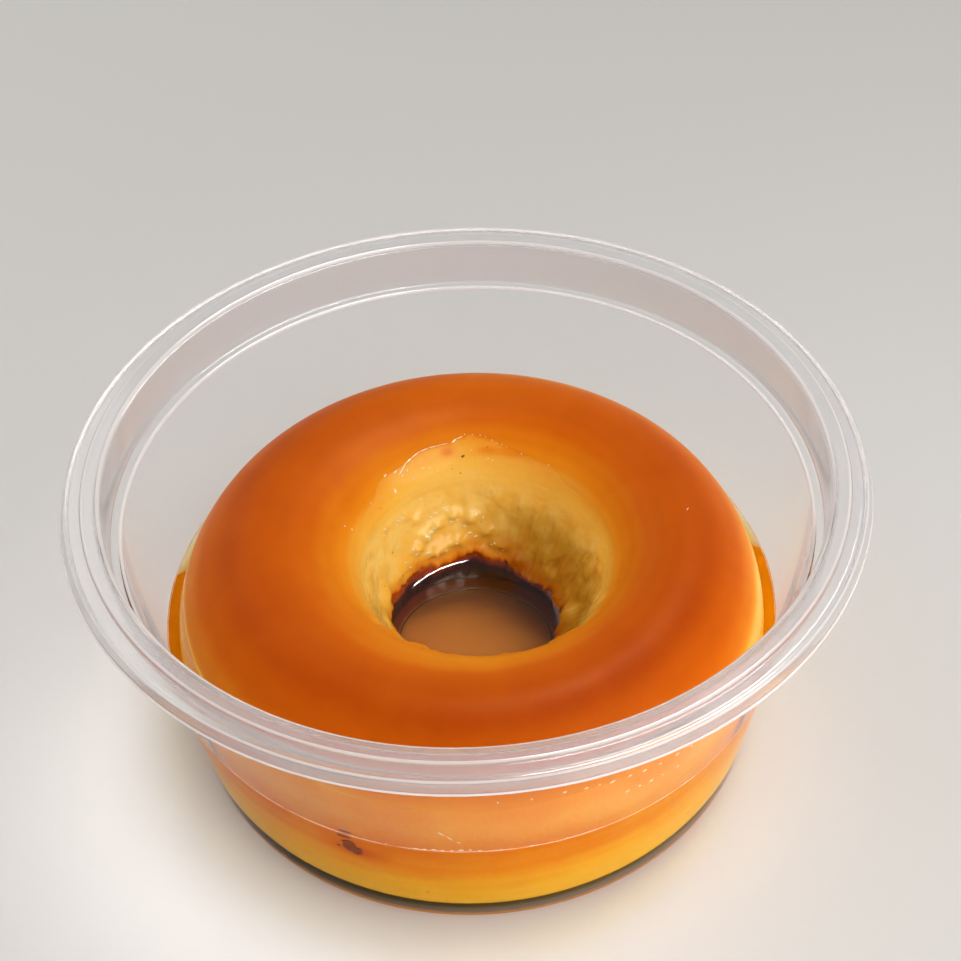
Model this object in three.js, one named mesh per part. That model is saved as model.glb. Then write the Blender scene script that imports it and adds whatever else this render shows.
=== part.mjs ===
// A caramel pudding ring in its clear plastic bowl, in millimetres, +Z up.
// The origin is at the centre of the bowl's foot, on the surface it stands on.
import * as THREE from 'three';

// Bowl: a tapered wall on a foot ring, with a lid band and a stepped rim on top.
const BOWL_SKIN = 0.8;
const FOOT_OUTER_RADIUS = 56.3;
const FOOT_INNER_RADIUS = 51.6;
const FOOT_SLOPE = 0.9;
const WALL_FLARE = 0.1395;
const FLOOR_UNDERSIDE = 1.4;
const FLOOR_TOP = FLOOR_UNDERSIDE + BOWL_SKIN;
const PUNT_RADIUS = 18;
const PUNT_RISE = 1.6;
const PUNT_SLOPE = 0.6;
const LEDGE_HEIGHT = 53.8;
const LEDGE_OUTER_RADIUS = 64.9;
const LIP_RADIUS = 65.1;
const INNER_FLANGE_HEIGHT = 64;
const OUTER_FLANGE_HEIGHT = 63.55;
const FLANGE_STEP_RADIUS = 68.2;
const FLANGE_STEP_WIDTH = 0.4;
const SKIRT_TOP_RADIUS = 71.3;
const SKIRT_RADIUS = 72.5;
const SKIRT_BOTTOM = 61.3;
const FOOT_ROUNDING = 1.8;
const FLOOR_ROUNDING = 2;
const LEDGE_ROUNDING = 0.5;
const LIP_EDGE_ROUNDING = 0.8;
const SKIRT_ROUNDING = 0.6;

// Pudding: a ring with a rounded crown and a hole that narrows downward.
const SIDE_RADIUS = 57.2;
const SIDE_HEIGHT = 24;
const CROWN_RADIUS = 40.5;
const CROWN_HEIGHT = 45;
const SHOULDER_FULLNESS = 1.86;
const LIP_ROUNDING = 18;
const LIP_TURN = THREE.MathUtils.degToRad(64);
const HOLE_WAIST_RADIUS = 15.4;
const HOLE_WAIST_HEIGHT = 16.4;
const HOLE_FOOT_RADIUS = 21.6;
const HOLE_FLARE_RADIUS = 18.8;
const HOLE_FLARE_HEIGHT = 9;
const HOLE_WALL_BULGE = 0.7;
const BASE_RADIUS = 54.9;
const BASE_ROUNDING = 1.6;
const BELLY_RADIUS = 56.2;
const BELLY_HEIGHT = 12;
const HOLE_LEAN = 3;
const HOLE_LEAN_START = 4;
const LOBE_DEPTH = 0.28;
const LOBE_COUNTS = [5, 9, 13];
const LOBE_FADE = 6;

// Caramel cap: thickest on the crown, thinning out to its two edges.
const CAP_THICKNESS = 2.6;
const CAP_EDGE_THICKNESS = 0.5;
const CAP_START = 0.145;
const CAP_END = 0.88;
const CAP_EDGE_MARGIN = 0.01;
const CAP_STEPS = 12;

// Syrup: a pool in the hole and a thin ring between the pudding and the wall.
const POOL_LEVEL = 17;
const RING_LEVEL = 26.3;
const RING_FOOT = 4.6;

const GAP = 0.3;
const LEAN_CLEARANCE = 0.1;
const SEGMENTS = 60;

const LIP_HOLE_RADIUS = CROWN_RADIUS - LIP_ROUNDING * Math.sin(LIP_TURN);
const LIP_HOLE_HEIGHT = CROWN_HEIGHT - LIP_ROUNDING * (1 - Math.cos(LIP_TURN));

function mix(a, b, t) {
  return a + (b - a) * t;
}

function smooth(t) {
  const k = Math.min(1, Math.max(0, t));
  return k * k * (3 - 2 * k);
}

function wallOuter(z) {
  return FOOT_OUTER_RADIUS + WALL_FLARE * z;
}

function wallInner(z) {
  return wallOuter(z) - BOWL_SKIN;
}

// Rounds the corners of a path; each corner is [radius, height, rounding, steps].
function roundedPath(corners) {
  const path = [];
  for (let i = 0; i < corners.length; i += 1) {
    const [x, y, rounding = 0, steps = 2] = corners[i];
    const corner = new THREE.Vector2(x, y);
    if (rounding === 0) {
      path.push(corner);
      continue;
    }
    const before = new THREE.Vector2(...corners[i - 1].slice(0, 2)).sub(corner).normalize();
    const after = new THREE.Vector2(...corners[i + 1].slice(0, 2)).sub(corner).normalize();
    const half = Math.acos(THREE.MathUtils.clamp(before.dot(after), -1, 1)) / 2;
    const reach = rounding / Math.tan(half);
    const start = corner.clone().addScaledVector(before, reach);
    const end = corner.clone().addScaledVector(after, reach);
    const bisector = before.clone().add(after).normalize();
    const centre = corner.clone().addScaledVector(bisector, rounding / Math.sin(half));
    const from = start.clone().sub(centre).angle();
    let turn = end.clone().sub(centre).angle() - from;
    turn = Math.atan2(Math.sin(turn), Math.cos(turn));
    for (let k = 0; k <= steps; k += 1) {
      const angle = from + (turn * k) / steps;
      path.push(new THREE.Vector2(Math.cos(angle), Math.sin(angle)).multiplyScalar(rounding).add(centre));
    }
  }
  return path;
}

// Turns a profile of (radius, height) points round the upright axis.
function revolve(profile) {
  const geometry = new THREE.LatheGeometry(profile, SEGMENTS);
  geometry.rotateX(Math.PI / 2);
  return geometry;
}

// Closes a profile on itself.
function closed(profile) {
  return [...profile, profile[0].clone()];
}

// The crown from the side (0) over the top (0.5) to the lip of the hole (1).
function crown(u) {
  if (u < 0.5) {
    const power = 2 / SHOULDER_FULLNESS;
    return new THREE.Vector2(
      mix(CROWN_RADIUS, SIDE_RADIUS, Math.cos(u * Math.PI) ** power),
      mix(SIDE_HEIGHT, CROWN_HEIGHT, Math.sin(u * Math.PI) ** power),
    );
  }
  const turn = (2 * u - 1) * LIP_TURN;
  return new THREE.Vector2(
    CROWN_RADIUS - LIP_ROUNDING * Math.sin(turn),
    CROWN_HEIGHT - LIP_ROUNDING * (1 - Math.cos(turn)),
  );
}

// The point a given depth under the crown.
function underCrown(u, depth) {
  const step = 0.002;
  const along = crown(Math.min(1, u + step)).sub(crown(Math.max(0, u - step))).normalize();
  const inward = new THREE.Vector2(-along.y, along.x);
  return crown(u).addScaledVector(inward, depth);
}

function capThickness(u) {
  const t = (u - CAP_START) / (CAP_END - CAP_START);
  return mix(CAP_EDGE_THICKNESS, CAP_THICKNESS, smooth(Math.sin(Math.PI * t) * 1.25));
}

// Leans the hole sideways and gives its wall shallow uneven lobes.
function shapeHole(geometry) {
  const position = geometry.getAttribute('position');
  for (let i = 0; i < position.count; i += 1) {
    const x = position.getX(i);
    const y = position.getY(i);
    const z = position.getZ(i);
    const radius = Math.hypot(x, y);
    if (radius < 1e-6) {
      continue;
    }
    const angle = Math.atan2(y, x);
    const nearHole = smooth((CROWN_RADIUS - radius) / (CROWN_RADIUS - LIP_HOLE_RADIUS));
    const rise = THREE.MathUtils.clamp((z - HOLE_LEAN_START) / (LIP_HOLE_HEIGHT - HOLE_LEAN_START), 0, 1);
    const fromPool = smooth((z - POOL_LEVEL) / LOBE_FADE);
    const fromCrown = smooth((CROWN_HEIGHT - 1 - z) / LOBE_FADE);
    const waves = LOBE_COUNTS.map((count, k) => Math.sin(count * angle + 0.4 + 1.5 * k) / (k + 2));
    const lobes = LOBE_DEPTH * (waves[0] + waves[1] + waves[2]);
    const wider = 1 + (lobes * fromPool * fromCrown * nearHole) / radius;
    position.setXY(i, x * wider + HOLE_LEAN * rise * nearHole, y * wider);
  }
  geometry.computeVertexNormals();
  return geometry;
}

function bowlGeometry() {
  const bandOuter = LEDGE_OUTER_RADIUS + BOWL_SKIN;
  const ledgeUnderside = LEDGE_HEIGHT - BOWL_SKIN;
  const flangeUnderside = OUTER_FLANGE_HEIGHT - BOWL_SKIN;
  const underside = [
    [0, FLOOR_UNDERSIDE + PUNT_RISE],
    [PUNT_RADIUS - BOWL_SKIN, FLOOR_UNDERSIDE + PUNT_RISE],
    [PUNT_RADIUS, FLOOR_UNDERSIDE],
    [FOOT_INNER_RADIUS - FOOT_SLOPE, FLOOR_UNDERSIDE],
    [FOOT_INNER_RADIUS, 0],
  ];
  const outside = [
    [FOOT_OUTER_RADIUS, 0, FOOT_ROUNDING, 3],
    [wallOuter(ledgeUnderside), ledgeUnderside, LEDGE_ROUNDING],
    [bandOuter, ledgeUnderside, LEDGE_ROUNDING],
    [LIP_RADIUS + BOWL_SKIN, flangeUnderside],
    [SKIRT_TOP_RADIUS - BOWL_SKIN, flangeUnderside],
    [SKIRT_RADIUS - BOWL_SKIN, SKIRT_BOTTOM],
  ];
  const top = [
    [SKIRT_RADIUS, SKIRT_BOTTOM],
    [SKIRT_TOP_RADIUS, OUTER_FLANGE_HEIGHT, SKIRT_ROUNDING, 3],
    [FLANGE_STEP_RADIUS + FLANGE_STEP_WIDTH, OUTER_FLANGE_HEIGHT],
    [FLANGE_STEP_RADIUS, INNER_FLANGE_HEIGHT],
    [LIP_RADIUS, INNER_FLANGE_HEIGHT, LIP_EDGE_ROUNDING, 3],
  ];
  const inside = [
    [LEDGE_OUTER_RADIUS, LEDGE_HEIGHT, LEDGE_ROUNDING],
    [wallInner(LEDGE_HEIGHT), LEDGE_HEIGHT, LEDGE_ROUNDING],
    [wallInner(FLOOR_TOP), FLOOR_TOP, FLOOR_ROUNDING, 3],
    [PUNT_RADIUS + PUNT_SLOPE, FLOOR_TOP],
    [PUNT_RADIUS, FLOOR_TOP + PUNT_RISE],
    [0, FLOOR_TOP + PUNT_RISE],
  ];
  return revolve(roundedPath([...underside, ...outside, ...top, ...inside]));
}

function custardGeometry() {
  const base = FLOOR_TOP + GAP;
  const profile = roundedPath([
    [HOLE_FOOT_RADIUS, base],
    [BASE_RADIUS, base, BASE_ROUNDING, 3],
    [BELLY_RADIUS, BELLY_HEIGHT],
  ]);
  const beforeCap = CAP_START - CAP_EDGE_MARGIN;
  const afterCap = CAP_END + CAP_EDGE_MARGIN;
  const recess = CAP_EDGE_THICKNESS + GAP;
  for (const share of [0, 0.5, 1]) {
    profile.push(crown(beforeCap * share));
  }
  profile.push(underCrown(beforeCap, recess));
  for (let i = 0; i <= CAP_STEPS; i += 1) {
    const u = mix(CAP_START, CAP_END, i / CAP_STEPS);
    profile.push(underCrown(u, capThickness(u) + GAP));
  }
  profile.push(underCrown(afterCap, recess));
  for (const share of [0, 0.5, 1]) {
    profile.push(crown(mix(afterCap, 1, share)));
  }
  const wallSteps = 4;
  for (let i = 1; i <= wallSteps; i += 1) {
    const t = i / wallSteps;
    const bulge = HOLE_WALL_BULGE * Math.sin(Math.PI * t);
    profile.push(new THREE.Vector2(
      mix(LIP_HOLE_RADIUS, HOLE_WAIST_RADIUS, t) + bulge,
      mix(LIP_HOLE_HEIGHT, HOLE_WAIST_HEIGHT, t),
    ));
  }
  profile.push(new THREE.Vector2(HOLE_FLARE_RADIUS, HOLE_FLARE_HEIGHT));
  return shapeHole(revolve(closed(profile)));
}

function capGeometry() {
  const above = [];
  const below = [];
  for (let i = 0; i <= CAP_STEPS; i += 1) {
    const u = mix(CAP_START, CAP_END, i / CAP_STEPS);
    above.push(underCrown(u, 0));
    below.push(underCrown(u, capThickness(u)));
  }
  return shapeHole(revolve(closed([...above, ...below.reverse()])));
}

function poolGeometry() {
  const base = FLOOR_TOP + GAP;
  const overPunt = FLOOR_TOP + PUNT_RISE + GAP;
  const clearance = GAP + LEAN_CLEARANCE;
  const corners = [
    [0, overPunt],
    [PUNT_RADIUS + GAP, overPunt],
    [PUNT_RADIUS + PUNT_SLOPE + GAP, base],
    [HOLE_FOOT_RADIUS - clearance, base],
    [HOLE_FLARE_RADIUS - clearance, HOLE_FLARE_HEIGHT],
    [HOLE_WAIST_RADIUS - clearance, HOLE_WAIST_HEIGHT],
    [HOLE_WAIST_RADIUS - GAP, POOL_LEVEL],
    [0, POOL_LEVEL],
  ];
  return shapeHole(revolve(roundedPath(corners)));
}

// The pudding's side from its base up to where the crown starts.
function sideRadius(z) {
  if (z < BELLY_HEIGHT) {
    const start = FLOOR_TOP + GAP + BASE_ROUNDING;
    return mix(BASE_RADIUS, BELLY_RADIUS, (z - start) / (BELLY_HEIGHT - start));
  }
  return mix(BELLY_RADIUS, SIDE_RADIUS, Math.min(1, (z - BELLY_HEIGHT) / (SIDE_HEIGHT - BELLY_HEIGHT)));
}

function syrupRingGeometry() {
  const heights = [RING_FOOT, BELLY_HEIGHT, (BELLY_HEIGHT + SIDE_HEIGHT) / 2, SIDE_HEIGHT, RING_LEVEL];
  const outer = heights.map((z) => new THREE.Vector2(wallInner(z) - GAP, z));
  const inner = heights.map((z) => new THREE.Vector2(sideRadius(z) + GAP, z));
  return revolve(closed([...outer, ...inner.reverse()]));
}

function piece(name, geometry, color, roughness, opacity = 1) {
  const material = new THREE.MeshStandardMaterial({ color, roughness, metalness: 0 });
  material.opacity = opacity;
  material.transparent = opacity < 1;
  const mesh = new THREE.Mesh(geometry, material);
  mesh.name = name;
  return mesh;
}

const group = new THREE.Group();
group.add(piece('bowl', bowlGeometry(), 0xd9d8d6, 0.15, 0.3));
group.add(piece('custard', custardGeometry(), 0xe9b84f, 0.5));
group.add(piece('caramel_top', capGeometry(), 0xbf5510, 0.3));
group.add(piece('syrup_pool', poolGeometry(), 0x7a4312, 0.08, 0.7));
group.add(piece('syrup_ring', syrupRingGeometry(), 0xc9861c, 0.08, 0.7));

export default group;
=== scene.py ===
import math

import bmesh
import bpy
from mathutils import Matrix, Vector, noise


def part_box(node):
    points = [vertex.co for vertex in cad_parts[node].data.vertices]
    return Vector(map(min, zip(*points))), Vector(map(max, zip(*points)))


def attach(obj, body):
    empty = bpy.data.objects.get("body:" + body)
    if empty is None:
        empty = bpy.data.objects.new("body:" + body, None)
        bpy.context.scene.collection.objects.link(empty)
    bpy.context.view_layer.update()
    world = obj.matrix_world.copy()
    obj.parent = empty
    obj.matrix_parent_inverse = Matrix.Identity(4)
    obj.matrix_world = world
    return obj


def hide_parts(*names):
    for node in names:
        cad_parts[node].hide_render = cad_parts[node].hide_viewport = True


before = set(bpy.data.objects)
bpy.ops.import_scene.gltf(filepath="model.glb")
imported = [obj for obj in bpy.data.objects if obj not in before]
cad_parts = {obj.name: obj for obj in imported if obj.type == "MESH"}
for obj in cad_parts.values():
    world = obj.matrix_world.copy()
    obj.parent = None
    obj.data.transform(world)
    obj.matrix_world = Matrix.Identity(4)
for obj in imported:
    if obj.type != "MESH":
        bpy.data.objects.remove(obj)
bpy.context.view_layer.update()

bl_info = {
    "name": "Caramel pudding bowl",
    "version": (1, 0, 0),
    "blender": (4, 5, 0),
    "location": "3D View > Sidebar > Pudding",
    "description": "Finishes a caramel pudding ring in its clear plastic bowl",
    "category": "Object",
}

MM = 0.001
BOWL_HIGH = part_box("bowl")[1]
CAP_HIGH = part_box("caramel_top")[1]
CUSTARD_LOW, CUSTARD_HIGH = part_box("custard")
POOL_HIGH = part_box("syrup_pool")[1]
RING_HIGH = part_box("syrup_ring")[1]
BODY = "root"

# Bowl
FOOT_INNER_RADIUS = 51.6 * MM
FOOT_SLOPE = 0.9 * MM
FLOOR_UNDERSIDE = 1.4 * MM
PUNT_RADIUS = 18 * MM
PUNT_RISE = 1.6 * MM
PUNT_SLOPE = 0.6 * MM
LEDGE_HEIGHT = 53.8 * MM
LEDGE_OUTER_RADIUS = 64.9 * MM
LIP_RADIUS = 65.1 * MM
FLANGE_DROP = 0.45 * MM
FLANGE_STEP_RADIUS = 68.2 * MM
FLANGE_STEP_WIDTH = 0.4 * MM
SKIRT_LEAN = 1.2 * MM
SKIRT_DEPTH = 2.7 * MM
# The wall bends light less than real plastic, because its many close faces would veil the pudding
WALL_IOR = 1.09
RIM_IOR = 1.49
RING_IOR = 1.08
POOL_IOR = 1.33
BOWL_STEPS = 240
HOLD = 0.25 * MM
# Places of the bowl's materials in its list
CLEAR, HAZY, MILKY, EDGE_HIGHLIGHT, UNDER_SYRUP, UNDERSIDE = range(6)

# Pudding
SIDE_HEIGHT = 24 * MM
CROWN_RADIUS = 40.5 * MM
CROWN_HEIGHT = CAP_HIGH.z
SIDE_RADIUS = CUSTARD_HIGH.x
SHOULDER_FULLNESS = 1.86
LIP_ROUNDING = 18 * MM
LIP_TURN = math.radians(64)
WAIST_RADIUS = 15.4 * MM
WAIST_HEIGHT = 16.4 * MM
HOLE_FLARE_RADIUS = 18.8 * MM
HOLE_FLARE_HEIGHT = 9 * MM
HOLE_FOOT_RADIUS = 21.6 * MM
HOLE_WALL_BULGE = 0.7 * MM
EDGE_UNDERCUT = 0.9 * MM
BASE_RADIUS = 54.9 * MM
BELLY_RADIUS = 56.2 * MM
BELLY_HEIGHT = 12 * MM
HOLE_LEAN = 3 * MM
HOLE_LEAN_START = 4 * MM
LIP_HOLE_RADIUS = CROWN_RADIUS - LIP_ROUNDING * math.sin(LIP_TURN)
LIP_HOLE_HEIGHT = CROWN_HEIGHT - LIP_ROUNDING * (1 - math.cos(LIP_TURN))
CUSTARD_STEPS = 480
SIDE_ROWS = 22
CROWN_ROWS = 56
WALL_ROWS = 70
FOOT_ROWS = 12

# Syrup: how fast it takes colour out of light, per metre
RING_DENSITY = 400.0
POOL_DENSITY = 140.0
RING_INNER_RADIUS = 50 * MM
POOL_TOUCH_RADIUS = 17.6 * MM

# Caramel film on the crown
CAP_START = 0.145
CAP_ACROSS = (0.14, 0.97)
CAP_ROWS = 84
CAP_DEPTH = 0.9 * MM
CAP_UNDER_ROWS = 10
FILM = 0.06 * MM

# Colour of the pudding from its side (0) over the crown to the lip of the hole (1)
TONE_ACROSS = (
    (0.0, 0.40), (0.08, 0.40), (0.13, 0.46), (0.2, 0.64), (0.3, 0.84), (0.4, 0.95), (0.5, 0.9), (0.6, 0.84),
    (0.7, 0.75), (0.8, 0.62), (0.88, 0.48), (0.94, 0.36), (1.0, 0.27),
)
# Where burnt caramel (a tone of 1) stands in the colours; what is darker is custard soaked in syrup and
# painted shade
TONE_SCALE = 0.8
SOAKED_AND_SHADED = 1 / TONE_SCALE
# Local changes of that colour: angle, place across, spread of each, change. The paler patches at 75 and 90
# degrees on the back of the crown are painted sheen, a hazy reflection painted into the colour.
TONE_PATCHES = (
    (265, 0.72, 42, 0.10, -0.22), (0, 0.92, 45, 0.12, 0.10), (75, 0.32, 55, 0.14, -0.30),
    (60, 0.14, 60, 0.10, -0.22), (175, 0.32, 30, 0.12, -0.06), (270, 0.0, 60, 0.12, 0.10),
    (310, 0.0, 25, 0.08, -0.12), (325, 0.18, 25, 0.08, 0.10), (300, 0.42, 30, 0.08, 0.06),
    (90, 0.5, 40, 0.10, -0.10), (350, 0.13, 25, 0.05, -0.20), (270, 1.0, 60, 0.14, 0.08),
    (103, 0.867, 3, 0.022, 0.30), (86, 0.879, 5, 0.02, 0.16), (75, 0.884, 6, 0.02, 0.14),
    (158, 0.86, 14, 0.05, 0.08),
)
# Colour down the wall of the hole, from its lip (0) to its bottom edge (1); the dark end is partly syrup and
# partly painted shade of the undercut
TONE_DOWN = (
    (0.0, 0.27), (0.06, 0.17), (0.15, 0.06), (0.4, 0.05), (0.6, 0.10), (0.75, 0.20), (0.88, 0.36),
    (0.96, 0.6), (1.0, 0.95),
)
# Wet lumps low on the wall of the hole: angle, height (mm), spread (degrees, mm), how far they stand out (mm)
LUMPS = (
    (131, 30.6, 4, 1.4, 0.5), (126, 29.2, 4, 1.2, 0.45), (123, 25.2, 5, 1.5, 1.0), (114, 26.3, 5, 1.4, 0.9),
    (104, 27.5, 5, 1.3, 0.9), (95, 26.2, 5, 1.5, 0.9), (84, 23.8, 6, 1.4, 0.9), (74, 21.2, 6, 1.4, 0.8),
    (131, 23.6, 6, 1.4, 0.8), (118, 21.6, 9, 1.4, 1.2), (104, 22.0, 6, 1.4, 0.9), (150, 22.5, 9, 1.8, 0.7),
    (170, 23.0, 8, 2.0, 0.6), (60, 19.5, 6, 1.5, 0.8), (-8, 20.5, 7, 2.5, 1.2),
)
# How far the bottom edge of the wall rises: angle, spread (degrees), rise (mm)
EDGE_RISES = (
    (91, 10, 2.6), (108, 7, 1.0), (140, 14, 2.6), (165, 12, 2.8), (185, 14, 2.2), (123, 6, 0.8),
    (48, 12, -1.2), (72, 7, 0.6), (3, 3.5, 1.6), (-14, 6, -0.8),
)
# Where the caramel film ends at the hole: angle, place across. Behind the hole its edge is torn.
CAP_END = (
    (0, 0.97), (45, 0.96), (58, 0.90), (71, 0.88), (78, 0.855), (84, 0.82), (92, 0.795), (98, 0.81),
    (103, 0.825), (115, 0.83), (123, 0.857), (134, 0.857), (148, 0.915), (165, 0.95), (180, 0.97),
    (360, 0.97),
)
# Pieces of torn skin along the torn edge, made bright partly by painted glint: angle and place across of each
# end, width (mm)
TORN_EDGE = (
    (134, 0.86, 132, 0.855, 0.3), (129, 0.87, 127, 0.865, 0.3), (127, 0.89, 122, 0.855, 0.28),
    (122, 0.855, 119, 0.845, 0.18), (119, 0.845, 115, 0.83, 0.16), (115, 0.83, 110, 0.825, 0.13),
    (110, 0.825, 107, 0.825, 0.13), (107, 0.825, 102, 0.825, 0.10), (100, 0.825, 98, 0.81, 0.34),
    (98, 0.81, 95, 0.80, 0.18),
)
# Beads: angle, place across or height (mm), turn from level, length and width (mm). On the crown, in the hole
# and on the side their near-white colour is partly painted glint.
CROWN_BEADS_AND_GLINTS = (
    (126, 0.90, 20, 0.7, 0.22), (123, 0.89, 50, 0.6, 0.2), (116, 0.91, 5, 0.8, 0.18),
    (113, 0.92, -10, 0.6, 0.16), (110, 0.95, 10, 0.4, 0.2), (122, 0.94, 30, 0.5, 0.22),
    (133, 0.95, 80, 1.1, 0.45), (94, 0.79, 0, 0.22, 0.2), (91, 0.795, 0, 0.2, 0.2),
    (88, 0.80, 0, 0.24, 0.2), (86, 0.81, 0, 0.2, 0.18), (83.5, 0.825, 0, 0.26, 0.22),
    (81.5, 0.84, 0, 0.22, 0.2), (79.5, 0.845, 0, 0.2, 0.2), (77.5, 0.855, 0, 0.2, 0.18),
    (71, 0.88, 40, 0.3, 0.24), (58, 0.90, 60, 0.3, 0.22), (93, 0.875, 0, 0.24, 0.2),
    (86, 0.92, 10, 0.4, 0.24), (84, 0.93, 0, 0.3, 0.24), (147, 0.915, 60, 0.5, 0.14),
    (165, 0.905, 70, 0.45, 0.22), (166, 0.865, 20, 0.35, 0.22), (2, 0.47, -30, 0.8, 0.2),
)
HOLE_GLINT_BEADS = (
    (137, 31, 50, 1.0, 0.26), (134, 31, 50, 0.9, 0.22), (147, 32, 60, 0.7, 0.2), (149, 31, 0, 0.4, 0.3),
    (121, 32.5, 30, 0.8, 0.16), (117, 28, 40, 0.7, 0.18), (114, 28.5, 35, 0.8, 0.16),
    (109, 29, 20, 0.7, 0.2), (107, 29, 10, 0.5, 0.14), (93, 28, -50, 0.6, 0.16), (91, 27, -50, 0.5, 0.2),
    (87, 26, -40, 0.35, 0.2), (123, 25.5, 30, 0.9, 0.3), (119, 25.5, 20, 1.0, 0.36),
    (117, 26, 10, 0.7, 0.22), (121, 24.5, 0, 0.9, 0.24), (106, 26, 0, 0.6, 0.24), (102, 26, 20, 0.4, 0.24),
    (98, 24.5, -30, 0.5, 0.24), (95, 23, -20, 0.7, 0.26), (91, 22.5, -30, 0.7, 0.2),
    (80, 21, -40, 0.5, 0.16), (78, 21.5, 0, 0.3, 0.2), (134, 24, -60, 0.8, 0.2), (132, 23, -35, 0.8, 0.2),
    (125, 22, -10, 1.3, 0.2), (118, 21, 10, 1.1, 0.2), (111, 21, 35, 0.9, 0.18), (142, 23, 0, 0.4, 0.26),
    (140, 21.5, 30, 0.4, 0.2), (162, 28.5, 80, 0.6, 0.14), (153, 26, 80, 0.4, 0.14),
    (167, 25, 60, 0.3, 0.16), (72, 20, -30, 0.4, 0.18), (104, 22, 10, 0.6, 0.18),
)
SIDE_GLINT_BEADS = (
    (296.5, 29.5, 10, 0.9, 0.25), (299, 29.3, 0, 0.6, 0.3), (301.5, 29, 0, 0.9, 0.26),
    (304, 28.7, 0, 0.5, 0.2), (307.5, 28.3, 10, 0.7, 0.26), (285, 33.7, 5, 0.7, 0.24),
    (289, 33.2, 5, 0.9, 0.22), (291.5, 33, 0, 0.4, 0.2), (294, 32.6, 5, 1.0, 0.26),
    (297.5, 32.2, 5, 0.7, 0.24), (300.5, 31.7, 5, 1.0, 0.26), (304, 31.2, 0, 0.6, 0.22),
    (308, 30.7, 5, 0.9, 0.24), (311.5, 30, 5, 0.6, 0.22), (273, 34, 0, 0.35, 0.24),
    (279, 33.8, 0, 0.4, 0.24), (263, 28, -35, 1.3, 0.22), (264.5, 27, -45, 1.2, 0.2),
    (266, 26, -20, 0.8, 0.2),
)
BOWL_BEADS = (
    (259, 26.8, 0, 0.8, 0.24), (260.5, 26.9, 0, 0.5, 0.3), (262, 27, 0, 0.9, 0.26),
    (263.5, 26.8, 0, 0.5, 0.3), (265, 26.9, 0, 0.6, 0.24), (266.5, 27.2, 10, 0.9, 0.34),
    (268, 27.3, 0, 0.5, 0.26), (269.5, 26.9, 0, 0.8, 0.2), (273, 26.8, 0, 0.4, 0.2),
    (278, 26.8, 0, 0.5, 0.18), (284, 26.8, 0, 0.4, 0.18), (254, 26.7, 0, 0.5, 0.2),
)
# Flecks: angle, place across or height (mm), turn from level, length and width (mm)
SIDE_FLECKS = (
    (246.3, 20.4, -10, 2.8, 3.2), (247.5, 19.0, -30, 2.2, 2.8), (245.5, 23.3, 5, 3.0, 0.8),
    (244, 19.0, 0, 0.7, 0.6),
)
CROWN_FLECKS = ((97, 0.90, 20, 0.75, 0.5), (103, 0.955, 0, 0.2, 0.2))
BOWL_FLECKS = (
    (341.5, 51.5, 0, 1.0, 0.6), (340, 45.5, 30, 0.7, 0.5), (340.5, 44, 0, 1.1, 0.7),
    (342, 40.5, 10, 0.8, 0.5), (345, 49.5, 0, 0.6, 0.4),
)


def mix(a, b, t):
    return a + (b - a) * t


def smooth(t):
    k = min(1.0, max(0.0, t))
    return k * k * (3 - 2 * k)


def along(points, t):
    """The value at t on a smooth line through (t, value) points."""
    for (t0, v0), (t1, v1) in zip(points, points[1:]):
        if t <= t1:
            return mix(v0, v1, smooth((t - t0) / (t1 - t0)))
    return points[-1][1]


def turn_between(a, b):
    """The angle from b to a, in degrees, from -180 to 180."""
    return (a - b + 180) % 360 - 180


def angle_of(vert):
    return math.degrees(math.atan2(vert.co.y, vert.co.x)) % 360


def hill(distance, spread):
    """1 at no distance, falling smoothly to nothing."""
    return math.exp(-((distance / spread) ** 2))


def waver(degrees, period, row, layer=0.3):
    """An uneven value between -1 and 1 that changes with the angle."""
    return noise.noise(Vector((degrees / period, row, layer)))


# Shapes

def wall_outer(z):
    sizes = bpy.context.scene.pudding_bowl
    return sizes.foot_radius + sizes.wall_flare * z


def wall_inner(z):
    return wall_outer(z) - bpy.context.scene.pudding_bowl.skin


def crown(u):
    """Radius and height of the crown, from the side (0) over the top (0.5) to the lip of the hole (1)."""
    if u < 0.5:
        power = 2 / SHOULDER_FULLNESS
        return (
            mix(CROWN_RADIUS, SIDE_RADIUS, max(0.0, math.cos(u * math.pi)) ** power),
            mix(SIDE_HEIGHT, CROWN_HEIGHT, math.sin(u * math.pi) ** power),
        )
    turn = (2 * u - 1) * LIP_TURN
    return CROWN_RADIUS - LIP_ROUNDING * math.sin(turn), CROWN_HEIGHT - LIP_ROUNDING * (1 - math.cos(turn))


def under_crown(u, depth):
    """The point that lies a depth under the crown."""
    step = 0.002
    r0, z0 = crown(max(0.0, u - step))
    r1, z1 = crown(min(1.0, u + step))
    length = math.hypot(r1 - r0, z1 - z0)
    r, z = crown(u)
    return r - (z1 - z0) / length * depth, z + (r1 - r0) / length * depth


def edge_rise(degrees):
    rise = sum(height * hill(turn_between(degrees, at), spread) for at, spread, height in EDGE_RISES)
    ragged = waver(degrees, 5.5, 3.1, 0) * 0.8 + waver(degrees, 2.2, 7.7, 0) * 0.4
    return (rise + ragged) * MM


def in_hole(radius, degrees, z):
    """A point near the hole, which leans to one side."""
    angle = math.radians(degrees)
    near = smooth((CROWN_RADIUS - radius) / (CROWN_RADIUS - LIP_HOLE_RADIUS))
    rise = min(1.0, max(0.0, (z - HOLE_LEAN_START) / (LIP_HOLE_HEIGHT - HOLE_LEAN_START)))
    lean = HOLE_LEAN * rise * near
    return Vector((radius * math.cos(angle) + lean, radius * math.sin(angle), z))


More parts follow.
